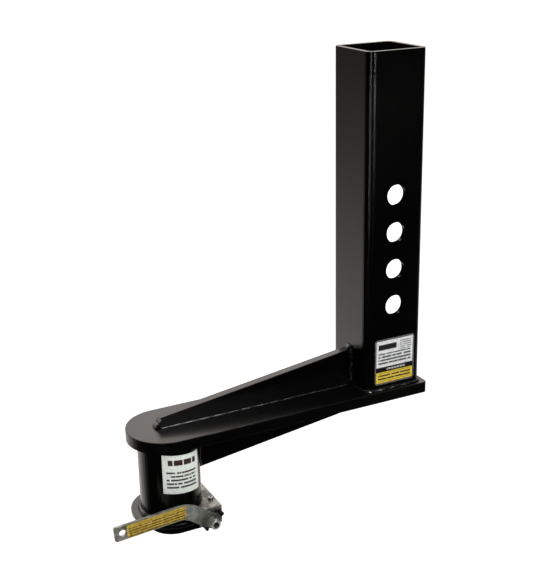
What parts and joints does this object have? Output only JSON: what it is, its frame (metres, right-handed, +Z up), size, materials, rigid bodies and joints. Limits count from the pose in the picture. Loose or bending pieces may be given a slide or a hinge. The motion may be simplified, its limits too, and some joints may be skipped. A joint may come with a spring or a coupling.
{
  "type": "offset gooseneck trailer coupler",
  "caption": "Offset gooseneck coupler: a square inner tube with pin holes on a gusseted arm, and a ball socket locked by a lever-turned cross shaft.",
  "frame": {"origin": "centre of the square tube at the arm plate's top face", "axes": "+Z up along the square tube; +X from the ball socket towards the tube; +Y away from the lever"},
  "size_m": [0.4708, 0.1236, 0.6005],
  "materials": {
    "black_paint": "semi-gloss",
    "zinc_plate": "zinc plated",
    "plain_steel": "machined",
    "black_steel": "oiled black",
    "white_label": "printed label",
    "yellow_label": "printed label"
  },
  "bodies": {
    "coupler": {"mast_tube": "black_paint", "arm_plate": "black_paint", "upper_gusset": "black_paint", "lower_gusset": "black_paint", "coupler_tube": "black_paint", "base_flange": "black_paint", "lower_ring": "black_paint", "ball_socket": "plain_steel", "shaft_carrier": "zinc_plate", "carrier_screw_near": "plain_steel", "carrier_screw_far": "plain_steel", "stop_pin": "plain_steel", "spring_post": "black_steel", "torsion_spring": "black_steel", "mast_decal": "white_label", "tube_decal": "white_label"},
    "lock": {"lock_shaft": "plain_steel", "lever": "zinc_plate", "lever_washer": "zinc_plate", "lever_screw": "plain_steel", "far_washer": "zinc_plate", "retaining_ring": "black_steel", "lever_decal": "yellow_label"}
  },
  "joints": [
    {"name": "lock_turn", "type": "hinge", "parent": "coupler", "child": "lock", "pos_m": [-0.28473, -0.0573, -0.1215], "axis": [0, 1, 0], "range_deg": [0, 90], "stiffness_Nm_per_rad": 0.12, "springref_deg": -57.3}
  ]
}
